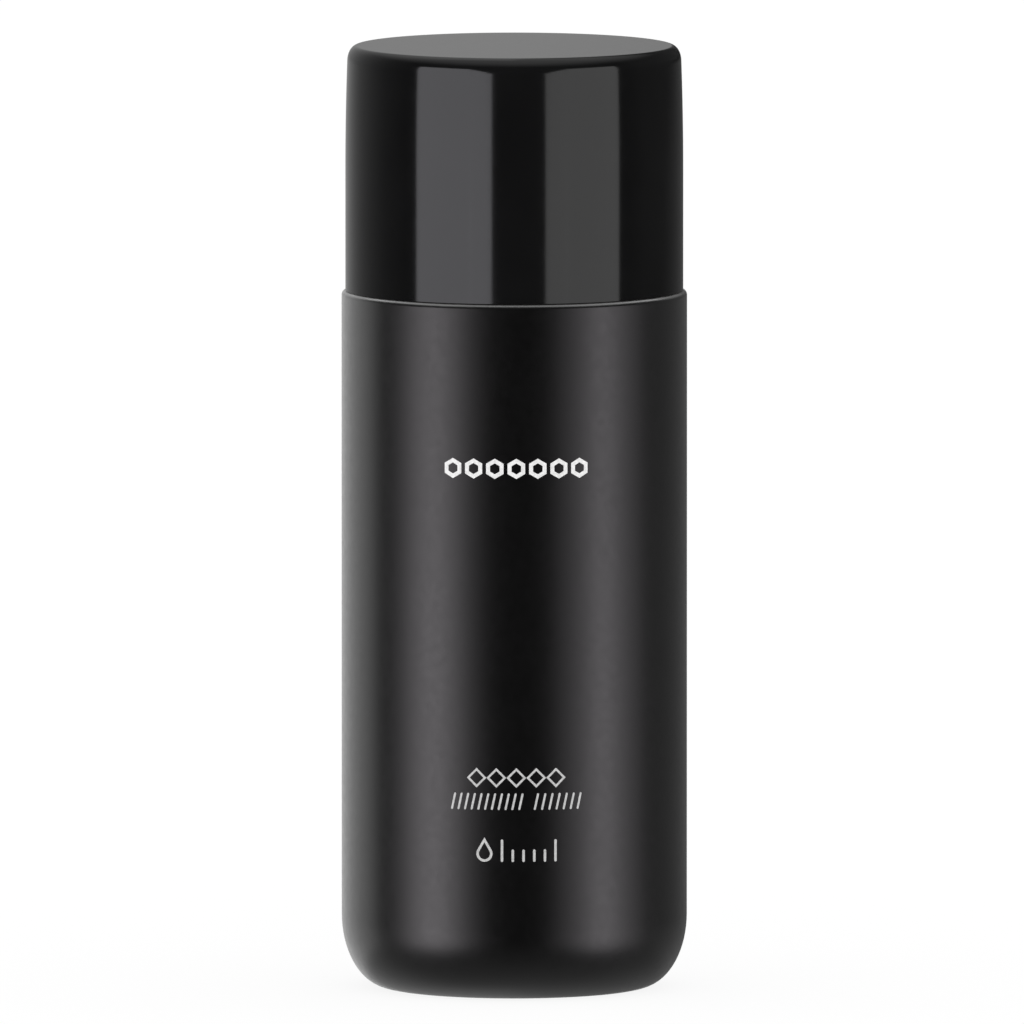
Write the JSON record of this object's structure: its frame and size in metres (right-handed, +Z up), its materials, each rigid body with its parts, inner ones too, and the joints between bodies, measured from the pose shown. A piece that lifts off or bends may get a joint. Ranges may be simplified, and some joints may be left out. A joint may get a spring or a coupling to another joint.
{
  "type": "shaving foam aerosol can",
  "caption": "Pocket-size aluminium shaving foam aerosol: satin black can with a crimped valve, a turning collar with a press-down foam spout, and a glossy push-on overcap.",
  "frame": {"origin": "centre of the can's foot, on the plane that it stands on", "axes": "+Z up along the can's axis, the foam spout points towards -Y at rest, +X to the right seen from the front"},
  "size_m": [0.045, 0.045, 0.123],
  "materials": {
    "can_lacquer": "satin black lacquer over an extruded aluminium can",
    "valve_cup_metal": "plain stamped aluminium with a clear lacquer",
    "seal_rubber": "matt black seal rubber",
    "valve_plastic": "natural white moulded plastic",
    "spring_steel": "drawn stainless spring wire",
    "dip_tube_plastic": "milky extruded polyethylene",
    "actuator_plastic": "matt black moulded plastic",
    "cap_gloss": "high-gloss black moulded plastic",
    "liner_plastic": "black moulded polypropylene, satin"
  },
  "bodies": {
    "can": {"can_body": "can_lacquer", "valve_cup": "valve_cup_metal", "cup_gasket": "seal_rubber", "stem_gasket": "seal_rubber", "valve_housing": "valve_plastic", "valve_spring": "spring_steel", "dip_tube": "dip_tube_plastic"},
    "collar": {"actuator_collar": "actuator_plastic"},
    "button": {"foam_button": "actuator_plastic", "valve_stem": "valve_plastic"},
    "overcap": {"overcap_shell": "cap_gloss", "overcap_liner": "liner_plastic"}
  },
  "joints": [
    {"name": "overcap_lift", "type": "slide", "parent": "can", "child": "overcap", "axis": [0, 0, 1], "range_m": [0, 0.045]},
    {"name": "spout_turn", "type": "hinge", "parent": "can", "child": "collar", "pos_m": [0, 0, 0.105], "axis": [0, 0, 1], "continuous": true},
    {"name": "foam_press", "type": "slide", "parent": "collar", "child": "button", "axis": [0, 0, -1], "range_m": [0, 0.0016], "stiffness_N_per_m": 2500, "springref_m": -0.004, "deforming": ["valve_spring"]}
  ]
}
